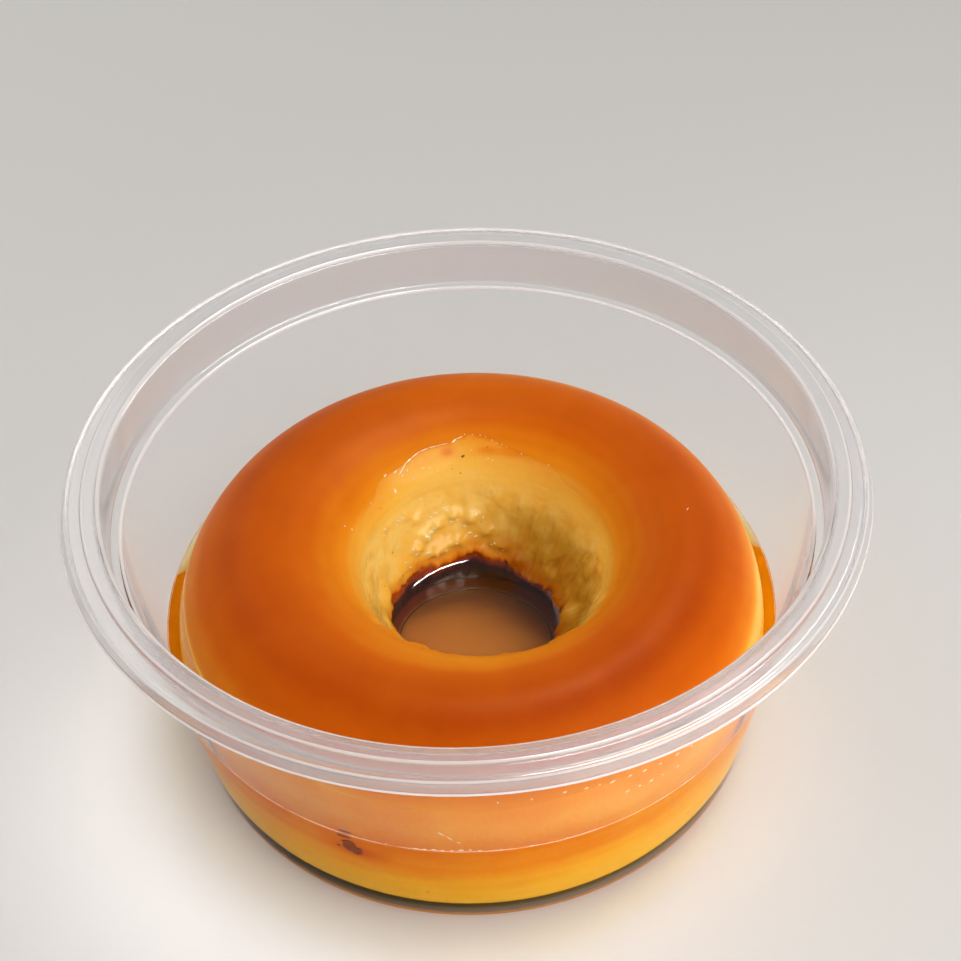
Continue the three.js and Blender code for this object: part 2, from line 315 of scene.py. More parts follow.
def wall_relief(degrees, z, w):
    """How far the wall of the hole stands out, in metres, at w from its lip (0) to its bottom edge (1)."""
    arc = math.radians(degrees) * 20
    height = z / MM
    place = Vector((math.cos(math.radians(degrees)) * 20, math.sin(math.radians(degrees)) * 20, height))
    relief = noise.fractal(place / 7, 1.0, 2.0, 3) * 0.5
    relief += noise.noise(place / 1.7) * 0.16 + noise.noise(place / 0.9) * 0.1
    right = smooth((70 - abs(turn_between(degrees, 10))) / 30)
    wrinkle = waver(arc, 0.85, height / 5, 4.2) + 0.5 * waver(arc, 0.5, height / 3, 9.2)
    relief += wrinkle * 0.42 * right * smooth((w - 0.12) / 0.3)
    for at, level, spread, tall, stands in LUMPS:
        near = hill(turn_between(degrees, at), 0.8 * spread) * hill(height - level, 0.8 * tall)
        relief += 1.2 * stands * near
    low = smooth((w - 0.45) / 0.3)
    relief += noise.noise(place / 2.6 + Vector((5, 5, 5))) * 0.5 * low
    return relief * MM * smooth(w / 0.28)


def lip_nick(degrees):
    """How far the front lip of the hole is nicked back, in metres."""
    front = smooth((-math.sin(math.radians(degrees)) - 0.25) / 0.35)
    notch = max(0.0, 1 - abs(waver(degrees, 7, 6.2, 0.9)) / 0.4)
    deep = 0.6 + 0.6 * waver(degrees, 7, 1.2, 3.9)
    ragged = waver(degrees, 8, 2.2, 5.9) * 0.6 + waver(degrees, 2.2, 2.2, 1.9) * 0.12
    return (notch * deep + ragged) * MM * front


def on_crown(degrees, u, depth=0.0):
    r, z = under_crown(u, depth)
    return in_hole(r + lip_nick(degrees) * smooth((u - 0.83) / 0.06), degrees, z)


def wall_line(z):
    """How far down the wall of the hole a height is (0 to 1), and the radius of a plain cone there."""
    down = (LIP_HOLE_HEIGHT - z) / (LIP_HOLE_HEIGHT - WAIST_HEIGHT)
    return down, mix(LIP_HOLE_RADIUS, WAIST_RADIUS, down)


def down_hole(degrees, z):
    """w of a height on the wall of the hole: 0 at the lip, 1 at the bottom edge."""
    return (LIP_HOLE_HEIGHT - z) / (LIP_HOLE_HEIGHT - WAIST_HEIGHT - edge_rise(degrees))


def on_hole_wall(degrees, z):
    w = down_hole(degrees, z)
    down, r = wall_line(z)
    r += HOLE_WALL_BULGE * math.sin(math.pi * down)
    r += EDGE_UNDERCUT * smooth((w - 0.9) / 0.1) ** 2 - wall_relief(degrees, z, w)
    r += lip_nick(degrees) * smooth(1 - w / 0.15)
    return in_hole(r, degrees, z)


def side_radius(z):
    if z < BELLY_HEIGHT:
        base = CUSTARD_LOW.z
        r = mix(BASE_RADIUS, BELLY_RADIUS, (z - base) / (BELLY_HEIGHT - base))
        return r - 1.2 * MM * hill(z - base, 0.8 * MM)
    return mix(BELLY_RADIUS, SIDE_RADIUS, (z - BELLY_HEIGHT) / (SIDE_HEIGHT - BELLY_HEIGHT))


def on_round(degrees, radius, z):
    angle = math.radians(degrees)
    return Vector((radius * math.cos(angle), radius * math.sin(angle), z))


def on_side(degrees, z):
    """On the custard's side or, higher up, on the outer half of the crown."""
    if z < SIDE_HEIGHT:
        return on_round(degrees, side_radius(z), z)
    power = 2 / SHOULDER_FULLNESS
    rise = ((z - SIDE_HEIGHT) / (CROWN_HEIGHT - SIDE_HEIGHT)) ** (1 / power)
    return on_crown(degrees, math.asin(min(1.0, rise)) / math.pi)


def on_bowl(degrees, z):
    return on_round(degrees, wall_inner(z), z)


def tone_across(u, degrees):
    """The pudding's colour on the crown, from pale custard (0) to burnt caramel (1)."""
    tone = along(TONE_ACROSS, u)
    for at, place, turn, spread, change in TONE_PATCHES:
        tone += change * hill(turn_between(degrees, at), turn) * hill(u - place, spread)
    return tone


def bare_tone(degrees):
    """How much paler the custard is where its skin has torn off behind the hole."""
    return 0.16 * hill(turn_between(degrees, 105), 35)


def cap_end(degrees):
    """Where on the crown the caramel film ends at the hole. It has shrunk back behind the hole."""
    return along(CAP_END, degrees % 360) + waver(degrees, 2.5, 4.5) * 0.004


def cap_start(degrees):
    return CAP_START + waver(degrees, 12, 8.5) * 0.010 + waver(degrees, 3, 2.5) * 0.004


# Meshes

def outline(bm, corners):
    """Joins corners by edges; each corner is radius, height and, where it is rounded, reach and segments."""
    verts = [bm.verts.new((corner[0], 0, corner[1])) for corner in corners]
    for pair in zip(verts, verts[1:]):
        bm.edges.new(pair)
    for vert, corner in zip(verts, corners):
        if len(corner) > 2:
            bmesh.ops.bevel(
                bm, geom=[vert], offset=corner[2], offset_type="OFFSET", segments=corner[3],
                profile=0.5, affect="VERTICES", material=-1, clamp_overlap=False,
            )
    for edge in bm.edges[:]:
        hold_ends(edge)


def hold_ends(edge):
    """Splits a long edge near both ends, so that smooth shading stays close to the rounded corners."""
    size = edge.calc_length()
    if size > 4 * HOLD:
        start, end = edge.verts
        rest, middle = bmesh.utils.edge_split(edge, start, HOLD / size)
        long = max((edge, rest), key=lambda part: part.calc_length())
        bmesh.utils.edge_split(long, end, HOLD / long.calc_length())


def revolve(bm, steps):
    bmesh.ops.spin(
        bm, geom=bm.verts[:] + bm.edges[:], cent=(0, 0, 0), axis=(0, 0, 1), dvec=(0, 0, 0),
        angle=2 * math.pi, steps=steps, use_merge=True, use_normal_flip=False, use_duplicate=False,
    )
    bmesh.ops.remove_doubles(bm, verts=bm.verts, dist=0.001 * MM)
    bmesh.ops.recalc_face_normals(bm, faces=bm.faces)


def rows_of(bm, rows):
    """Joins (radius, height, run) points by edges; run stays on each point when they are revolved."""
    run_layer = bm.verts.layers.float.new("run")
    verts = []
    for radius, height, run in rows:
        vert = bm.verts.new((radius, 0, height))
        vert[run_layer] = run
        verts.append(vert)
    for pair in zip(verts, verts[1:] + verts[:1]):
        bm.edges.new(pair)
    return run_layer


def add_piece(bm, name, materials, slot, *replaced, sharp=None):
    mesh = bpy.data.meshes.new(name)
    bm.to_mesh(mesh)
    bm.free()
    for material in materials:
        mesh.materials.append(material)
    mesh.shade_smooth()
    if sharp is not None:
        mesh.set_sharp_from_angle(angle=sharp)
    piece = bpy.data.objects.new(name, mesh)
    bpy.context.scene.collection.objects.link(piece)
    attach(piece, BODY)
    if replaced:
        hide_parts(*replaced)
    return piece


def blob(bm, surface, degrees, place, turn, long, wide, heading=None, ragged=0.25, flat=0.6):
    """Adds a long low bead on a surface, turned from level by an angle or headed along a vector."""
    step = 0.3
    nudge = 0.002 if surface is on_crown else 0.1 * MM
    point = surface(degrees, place)
    level = (surface(degrees + step, place) - surface(degrees - step, place)).normalized()
    slope = surface(degrees, place + nudge) - surface(degrees, place - nudge)
    normal = level.cross(slope).normalized()
    course = heading.normalized() if heading else Matrix.Rotation(math.radians(turn), 3, normal) @ level
    side = normal.cross(course).normalized()
    course = side.cross(normal)
    sizes = Matrix.Diagonal((long / 2, wide / 2, wide * flat / 2, 1))
    axes = Matrix((course, side, normal)).transposed().to_4x4()
    made = bmesh.ops.create_icosphere(
        bm, subdivisions=3, radius=1, matrix=Matrix.Translation(point) @ axes @ sizes,
    )
    for vert in made["verts"]:
        reach = vert.co - point
        uneven = noise.noise(vert.co / (wide * 0.7))
        uneven += 0.5 * noise.noise(vert.co / (wide * 0.25))
        vert.co = point + reach * (1 + ragged * uneven)


def blobs(bm, surface, rows, longer=1.0, wider=1.0, **look):
    """Adds a bead for each row. Places on the crown are shares of it, others are heights in mm."""
    unit = 1 if surface is on_crown else MM
    for degrees, place, turn, long, wide in rows:
        blob(bm, surface, degrees, place * unit, turn, longer * long * MM, wider * wide * MM, **look)


# Materials

class Tree:
    """Adds and joins nodes in a material or a group."""

    def __init__(self, tree):
        self.tree = tree

    def add(self, kind, settings=None, **inputs):
        node = self.tree.nodes.new(kind)
        for key, value in (settings or {}).items():
            setattr(node, key, value)
        for key, value in inputs.items():
            self.set(node, key.replace("_", " "), value)
        return node

    def set(self, node, key, value):
        socket = node.inputs[int(key)] if key.isdigit() else node.inputs[key]
        if isinstance(value, bpy.types.NodeSocket):
            self.tree.links.new(value, socket)
        else:
            socket.default_value = value

    def math(self, operation, a, b=0.0, clamp=False):
        settings = {"operation": operation, "use_clamp": clamp}
        return self.add("ShaderNodeMath", settings, **{"0": a, "1": b}).outputs[0]

    def ramp(self, factor, stops):
        node = self.tree.nodes.new("ShaderNodeValToRGB")
        elements = node.color_ramp.elements
        while len(elements) < len(stops):
            elements.new(0.5)
        for element, (position, colour) in zip(elements, stops):
            element.position = position
            element.color = colour
        self.set(node, "Fac", factor)
        return node.outputs["Color"]

    def between(self, factor, low, high):
        """A factor stretched from low..high to 0..1."""
        settings = {"interpolation_type": "SMOOTHSTEP"}
        node = self.add("ShaderNodeMapRange", settings, Value=factor, From_Min=low, From_Max=high)
        return node.outputs["Result"]

    def blend(self, factor, a, b, kind="MIX"):
        settings = {"data_type": "RGBA", "blend_type": kind}
        return self.add("ShaderNodeMix", settings, **{"0": factor, "6": a, "7": b}).outputs[2]

    def noise(self, scale, detail=2.0, rough=0.5):
        inputs = {"Scale": scale, "Detail": detail, "Roughness": rough, "Vector": self.place()}
        return self.add("ShaderNodeTexNoise", **inputs).outputs["Fac"]

    def place(self):
        return self.add("ShaderNodeTexCoord").outputs["Object"]

    def attribute(self, name):
        return self.add("ShaderNodeAttribute", {"attribute_name": name}).outputs["Fac"]


def new_material(name):
    material = bpy.data.materials.new(name)
    material.use_nodes = True
    material.node_tree.nodes.clear()
    tree = Tree(material.node_tree)
    out = tree.add("ShaderNodeOutputMaterial")
    return material, tree, out


def new_group(name, inputs, outputs):
    """An empty node group with named sockets; returns it with its tree, inputs and output node."""
    group = bpy.data.node_groups.new(name, "ShaderNodeTree")
    for socket_name, kind, value in inputs:
        group.interface.new_socket(name=socket_name, in_out="INPUT", socket_type=kind).default_value = value
    for socket_name, kind in outputs:
        group.interface.new_socket(name=socket_name, in_out="OUTPUT", socket_type=kind)
    tree = Tree(group)
    return group, tree, tree.add("NodeGroupInput").outputs, tree.add("NodeGroupOutput")


def pudding_group():
    """Colour, roughness and fine relief of custard and the caramel soaked into it, from a tone of 0 to 1."""
    name = "Pudding"
    if name in bpy.data.node_groups:
        return bpy.data.node_groups[name]
    colours = bpy.context.scene.pudding_colours
    group, tree, given, out = new_group(
        name,
        [("Tone", "NodeSocketFloat", 0.5), ("Stain", "NodeSocketFloat", 0.0),
         ("Wet", "NodeSocketFloat", 0.0), ("Roughness", "NodeSocketFloat", 0.5),
         ("Cloudiness", "NodeSocketFloat", 0.1), ("Specks", "NodeSocketFloat", 0.2)],
        [("Color", "NodeSocketColor"), ("Roughness", "NodeSocketFloat"), ("Height", "NodeSocketFloat")],
    )
    cloud = tree.noise(90.0, 3.0, 0.6)
    fine = tree.noise(900.0, 2.0, 0.5)
    drift = tree.math("MULTIPLY", tree.math("SUBTRACT", cloud, 0.5), given["Cloudiness"])
    tone = tree.math("MULTIPLY", tree.math("ADD", given["Tone"], drift), TONE_SCALE, clamp=True)
    colour = tree.ramp(tone, (
        (0.0, colours.custard_pale), (0.2 * TONE_SCALE, colours.custard_yellow),
        (0.5 * TONE_SCALE, colours.amber), (0.75 * TONE_SCALE, colours.orange),
        (TONE_SCALE, colours.burnt), (1.0, colours.soaked_and_shaded),
    ))
    cells = tree.add("ShaderNodeTexVoronoi", {"feature": "F1"}, Scale=420.0, Vector=tree.place())
    speck = tree.between(cells.outputs["Distance"], 0.16, 0.05)
    rare = tree.between(tree.noise(160.0, 1.0), 0.56, 0.64)
    speck = tree.math("MULTIPLY", tree.math("MULTIPLY", speck, rare), given["Specks"])
    colour = tree.blend(speck, colour, colours.speck)
    # Partly syrup stain, partly painted shade: the colour is darkened where the mask is given.
    colour = tree.blend(given["Stain"], colour, colours.stain_and_shade, "MULTIPLY")
    tree.set(out, "Color", colour)
    patchy = tree.math("MULTIPLY", tree.math("SUBTRACT", tree.noise(260.0, 2.0), 0.5), 0.16)
    wetness = tree.math("MULTIPLY", given["Wet"], 0.2)
    rough = tree.math("SUBTRACT", tree.math("ADD", given["Roughness"], patchy), wetness, clamp=True)
    tree.set(out, "Roughness", rough)
    tree.set(out, "Height", tree.math("ADD", fine, tree.math("MULTIPLY", speck, -1.5)))
    return group


def pudding_material(name, cloudiness, specks, roughness, coat, bump, subsurface, specular=0.12):
    material, tree, out = new_material(name)
    wet = tree.attribute("wet")
    pudding = tree.add(
        "ShaderNodeGroup", {"node_tree": pudding_group()}, Tone=tree.attribute("tone"), Wet=wet,
        Stain=tree.attribute("stain_and_shade"), Roughness=roughness, Cloudiness=cloudiness, Specks=specks,
    )
    normal = tree.add("ShaderNodeBump", Strength=bump, Distance=0.1 * MM, Height=pudding.outputs["Height"])
    shader = tree.add(
        "ShaderNodeBsdfPrincipled", Normal=normal.outputs["Normal"],
        Roughness=pudding.outputs["Roughness"], Base_Color=pudding.outputs["Color"],
        Coat_Weight=tree.math("MULTIPLY", wet, coat), Coat_Roughness=0.1,
        Specular_IOR_Level=specular, Specular_Tint=(1.0, 0.62, 0.30, 1.0),
        Subsurface_Weight=subsurface, Subsurface_Radius=(1.0, 0.45, 0.12), Subsurface_Scale=1.5 * MM,
    )
    tree.set(out, "Surface", shader.outputs[0])
    return material


def smudges_group():
    """Roughness between two values, changing in faint smudges."""
    name = "Smudges"
    if name in bpy.data.node_groups:
        return bpy.data.node_groups[name]
    inputs = [("Low", "NodeSocketFloat", 0.0), ("High", "NodeSocketFloat", 0.1)]
    group, tree, given, out = new_group(name, inputs, [("Roughness", "NodeSocketFloat")])
    smudge = tree.between(tree.noise(38.0, 4.0, 0.65), 0.4, 0.75)
    spread = tree.math("SUBTRACT", given["High"], given["Low"])
    tree.set(out, "Roughness", tree.math("ADD", given["Low"], tree.math("MULTIPLY", smudge, spread)))
    return group


def faint_shade_group():
    """A colour with slight changes of shade."""
    name = "Faint shade"
    if name in bpy.data.node_groups:
        return bpy.data.node_groups[name]
    inputs = [("Color", "NodeSocketColor", (1, 1, 1, 1))]
    group, tree, given, out = new_group(name, inputs, [("Color", "NodeSocketColor")])
    darker = tree.blend(1.0, given["Color"], (0.8, 0.8, 0.8, 1), "MULTIPLY")
    tree.set(out, "Color", tree.blend(tree.noise(500.0, 2.0), given["Color"], darker))
    return group


def clear_material(
    name, tint, ior, lets_through, transmission=1.0, roughness=0.0, smudged=None, absorption=None,
    free_above=None,
):
    """A clear solid that lets the lamps' light straight through, so that what is behind it is lit.

    Below free_above it touches plastic or custard and doesn't bend light.
    """
    material, tree, out = new_material(name)
    shader = tree.add(
        "ShaderNodeBsdfPrincipled", Roughness=roughness, Base_Color=tint, IOR=ior,
        Transmission_Weight=transmission,
    )
    if smudged:
        smudges = tree.add("ShaderNodeGroup", {"node_tree": smudges_group()}, Low=smudged[0], High=smudged[1])
        tree.set(shader, "Roughness", smudges.outputs["Roughness"])
    lamp = tree.add("ShaderNodeBsdfTransparent", Color=(*[lets_through] * 3, 1))
    straight = tree.add("ShaderNodeLightPath").outputs["Is Shadow Ray"]
    if free_above is not None:
        height = tree.add("ShaderNodeSeparateXYZ", Vector=tree.place()).outputs["Z"]
        straight = tree.math("MAXIMUM", straight, tree.math("LESS_THAN", height, free_above))
    either = tree.add("ShaderNodeMixShader", **{"0": straight, "1": shader.outputs[0], "2": lamp.outputs[0]})
    tree.set(out, "Surface", either.outputs[0])
    if absorption is not None:
        colour, density = absorption
        volume = tree.add("ShaderNodeVolumeAbsorption", Color=colour, Density=density)
        tree.set(out, "Volume", volume.outputs[0])
    return material


def syrup_material(name, tint, ior, density, level):
    return clear_material(
        name, (1, 1, 1, 1), ior, 0.98, roughness=0.02, absorption=(tuple(tint), density),
        free_above=level - 0.05 * MM,
    )


def plain_material(name, base, roughness, coat):
    """An opaque material with slight changes of shade."""
    material, tree, out = new_material(name)
    shade = tree.add("ShaderNodeGroup", {"node_tree": faint_shade_group()}, Color=tuple(base))
    colour = shade.outputs["Color"]
    shader = tree.add("ShaderNodeBsdfPrincipled", Roughness=roughness, Base_Color=colour, Coat_Weight=coat)
    tree.set(out, "Surface", shader.outputs[0])
    return material


# Settings

def length(name, description, default):
    return bpy.props.FloatProperty(
        name=name, description=description, default=default, min=0.0, precision=5, unit="LENGTH",
    )


def power(name, description, default):
    return bpy.props.FloatProperty(
        name=name, description=description, default=default, min=0.0, unit="POWER",
    )


def colour(name, description, default):
    return bpy.props.FloatVectorProperty(
        name=name, description=description, default=(*default, 1.0), size=4, min=0.0, max=1.0,
        subtype="COLOR",
    )


class PUDDING_PG_bowl(bpy.types.PropertyGroup):
    """Sizes of the bowl"""

    skin: length("Wall thickness", "Thickness of the bowl's wall, floor and rim", 0.8 * MM)
    foot_radius: length("Foot radius", "Outer radius of the bowl where it stands", 56.3 * MM)
    wall_flare: bpy.props.FloatProperty(
        name="Wall flare", description="How much the radius grows for each unit of height",
        default=0.1395, min=0.0,
    )
    rim_radius: length("Rim radius", "Outer radius of the rim", BOWL_HIGH.x)
    rim_height: length("Rim height", "Height of the rim above the surface the bowl stands on", BOWL_HIGH.z)


class PUDDING_PG_syrup(bpy.types.PropertyGroup):
    """Levels of the syrup"""

    ring_level: length("Outer level", "Height of the syrup between pudding and wall", RING_HIGH.z)
    pool_level: length("Inner level", "Height of the syrup in the hole", POOL_HIGH.z)
    meniscus: length("Meniscus", "How far the syrup climbs where it touches", 0.3 * MM)


class PUDDING_PG_colours(bpy.types.PropertyGroup):
    """Colours of the finish"""

    custard_pale: colour("Pale custard", "Freshly cut custard", (0.93, 0.62, 0.15))
    custard_yellow: colour("Yellow custard", "Custard near its surface", (0.90, 0.50, 0.065))
    amber: colour("Amber", "Custard with a little caramel", (0.80, 0.25, 0.008))
    orange: colour("Orange", "Custard with much caramel", (0.62, 0.115, 0.002))
    burnt: colour("Burnt caramel", "The darkest caramel skin", (0.42, 0.052, 0.001))
    # Partly custard soaked in dark syrup, partly painted shade in the undercut under the hole's wall.
    soaked_and_shaded: colour("Soaked and shaded", "Custard soaked in dark syrup", (0.07, 0.012, 0.002))
    # Partly syrup stain, partly painted shade on the right wall of the hole.
    stain_and_shade: colour("Stain", "What a film of syrup lets through", (0.55, 0.50, 0.25))
    speck: colour("Specks", "Small dark specks", (0.28, 0.07, 0.005))
    froth: colour("Froth", "Fine froth on the syrup", (0.80, 0.45, 0.25))
    # Partly the beads' own wet colour, partly painted glint: the near-white colour stands in for the glints
    # on wet beads and torn skin.
    bead: colour("Wet beads and glints", "Wet beads and glints and torn skin that catch the light", (1.0, 0.84, 0.52))
    fleck: colour("Burnt fleck", "Burnt skin on the custard's side", (0.26, 0.03, 0.002))
    syrup: colour("Syrup", "What the syrup round the pudding lets through", (0.982, 0.86, 0.0))
    dark_syrup: colour("Syrup in the hole", "What the syrup in the hole lets through", (0.82, 0.55, 0.08))
    plastic: colour("Plastic", "Clear plastic", (0.96, 0.96, 0.97))
    # Partly the dark syrup seen through the underside, partly painted shade: the brown tint also stands in
    # for the dark shadow under the bowl.
    foot: colour("Underside", "The underside, which shows the dark syrup above it", (0.9, 0.4, 0.1))
    milky: colour("Milky plastic", "The bowl's rim", (0.84, 0.83, 0.84))
    # Painted highlight: a whiter colour that makes the rim's thin edges show as bright lines.
    edge_highlight: colour("Edge highlight", "The thin bright lines on the rim", (0.84, 0.80, 0.79))


class PUDDING_PG_stage(bpy.types.PropertyGroup):
    """Light and floor"""

    floor: colour("Floor", "Colour of the floor", (0.62, 0.61, 0.595))
    key: power("Key light", "Power of the soft key light", 3.1)
    fill: power("Fill light", "Power of the fill light", 1.25)
    front: power("Front light", "Power of the low front light", 0.15)
    strip: power("Strip light", "Power of the strip that glints", 10.0)
    sky: bpy.props.FloatProperty(
        name="Sky", description="Strength of the even light from all round", default=0.52, min=0.0,
    )


# Pieces

class PUDDING_OT_bowl(bpy.types.Operator):
    """Make the clear plastic bowl"""

    bl_idname = "pudding.bowl"
    bl_label = "Bowl"

    def execute(self, context):
        sizes = context.scene.pudding_bowl
        skin = sizes.skin
        top = sizes.rim_height
        ledge = LEDGE_HEIGHT
        low_top = top - FLANGE_DROP
        band_outer = LEDGE_OUTER_RADIUS + skin
        skirt_top = sizes.rim_radius - SKIRT_LEAN
        skirt_bottom = top - SKIRT_DEPTH
        floor_top = FLOOR_UNDERSIDE + skin
        haze_from = context.scene.pudding_syrup.ring_level + 0.3 * MM
        corners = [
            (0, FLOOR_UNDERSIDE + PUNT_RISE),
            (PUNT_RADIUS - skin, FLOOR_UNDERSIDE + PUNT_RISE, 0.5 * MM, 3),
            (PUNT_RADIUS, FLOOR_UNDERSIDE, 0.5 * MM, 3),
            (FOOT_INNER_RADIUS - FOOT_SLOPE, FLOOR_UNDERSIDE, 0.4 * MM, 3),
            (FOOT_INNER_RADIUS, 0, 0.3 * MM, 3),
            (sizes.foot_radius, 0, 1.6 * MM, 6),
            (wall_outer(ledge - skin), ledge - skin, 0.4 * MM, 4),
            (band_outer, ledge - skin, 0.5 * MM, 4),
            (LIP_RADIUS + skin, low_top - skin, 0.5 * MM, 4),
            (skirt_top - skin, low_top - skin, 0.4 * MM, 4),
            (sizes.rim_radius - skin, skirt_bottom, 0.25 * MM, 3),
            (sizes.rim_radius, skirt_bottom, 0.3 * MM, 3),
            (skirt_top, low_top, 0.55 * MM, 5),
            (FLANGE_STEP_RADIUS + FLANGE_STEP_WIDTH, low_top, 0.2 * MM, 3),
            (FLANGE_STEP_RADIUS, top, 0.25 * MM, 3),
            (LIP_RADIUS, top, 0.8 * MM, 6),
            (LEDGE_OUTER_RADIUS, ledge, 0.5 * MM, 4),
            (wall_inner(ledge), ledge, 0.5 * MM, 4),
            (wall_inner(haze_from), haze_from),
            (wall_inner(floor_top), floor_top, 1.8 * MM, 6),
            (PUNT_RADIUS + PUNT_SLOPE, floor_top, 0.4 * MM, 3),
            (PUNT_RADIUS, floor_top + PUNT_RISE, 0.4 * MM, 3),
            (0, floor_top + PUNT_RISE),
        ]
        bm = bmesh.new()
        outline(bm, corners)
        revolve(bm, BOWL_STEPS)
        for face in bm.faces:
            face.material_index = self.kind(face, sizes, haze_from)
        colours = context.scene.pudding_colours
        plastic = tuple(colours.plastic)
        materials = [
            clear_material("Clear plastic", plastic, WALL_IOR, 0.84),
            clear_material("Hazy plastic", plastic, WALL_IOR, 0.86, 0.97, smudged=(0.02, 0.07)),
            clear_material("Milky plastic", tuple(colours.milky), RIM_IOR, 0.9, 0.9, smudged=(0.12, 0.2)),
            # Painted highlight: the rim's thin edges get a whiter, less clear plastic so that they show as
            # bright lines.
            clear_material("Edge highlight", tuple(colours.edge_highlight), RIM_IOR, 0.9, 0.35, roughness=0.15),
            clear_material("Plastic under syrup", plastic, 1.0, 0.95),
            # Partly syrup, partly painted shade: the brown underside stands in for the dark shadow under the
            # bowl.
            clear_material("Underside", tuple(colours.foot), WALL_IOR, 0.8),
        ]
        add_piece(bm, "clear_bowl", materials, "clear_plastic", "bowl", sharp=math.radians(40))
        return {"FINISHED"}

    def kind(self, face, sizes, haze_from):
        """Which material a face has: clear or hazy wall, rim, painted edge highlight, under syrup, underside.
        """
        middle = face.calc_center_median()
        radius = middle.xy.length
        # The rounded edges of the rim that get the painted highlight.
        edges = (
            (wall_inner(LEDGE_HEIGHT), LEDGE_HEIGHT, 0.62 * MM),
            (LIP_RADIUS + 0.15 * MM, sizes.rim_height - 0.1 * MM, 0.5 * MM),
            (FLANGE_STEP_RADIUS, sizes.rim_height - 0.03 * MM, 0.2 * MM),
            (sizes.rim_radius - SKIRT_LEAN, sizes.rim_height - FLANGE_DROP - 0.1 * MM, 0.2 * MM),
            (sizes.rim_radius - 0.2 * MM, sizes.rim_height - SKIRT_DEPTH + 0.15 * MM, 0.5 * MM),
        )
        if any(math.hypot(radius - r, middle.z - z) < reach for r, z, reach in edges):
            return EDGE_HIGHLIGHT
        if middle.z > LEDGE_HEIGHT - 0.6 * MM and radius > LEDGE_OUTER_RADIUS - 0.4 * MM:
            return MILKY
        if face.normal.z > 0.02 and FLOOR_UNDERSIDE + sizes.skin / 2 < middle.z < haze_from:
            return UNDER_SYRUP
        if middle.z < FLOOR_UNDERSIDE + 0.3 * MM and radius > PUNT_RADIUS + MM:
            return UNDERSIDE
        inner = face.normal.xy.dot(middle.xy) < 0
        return HAZY if inner and middle.z > haze_from else CLEAR


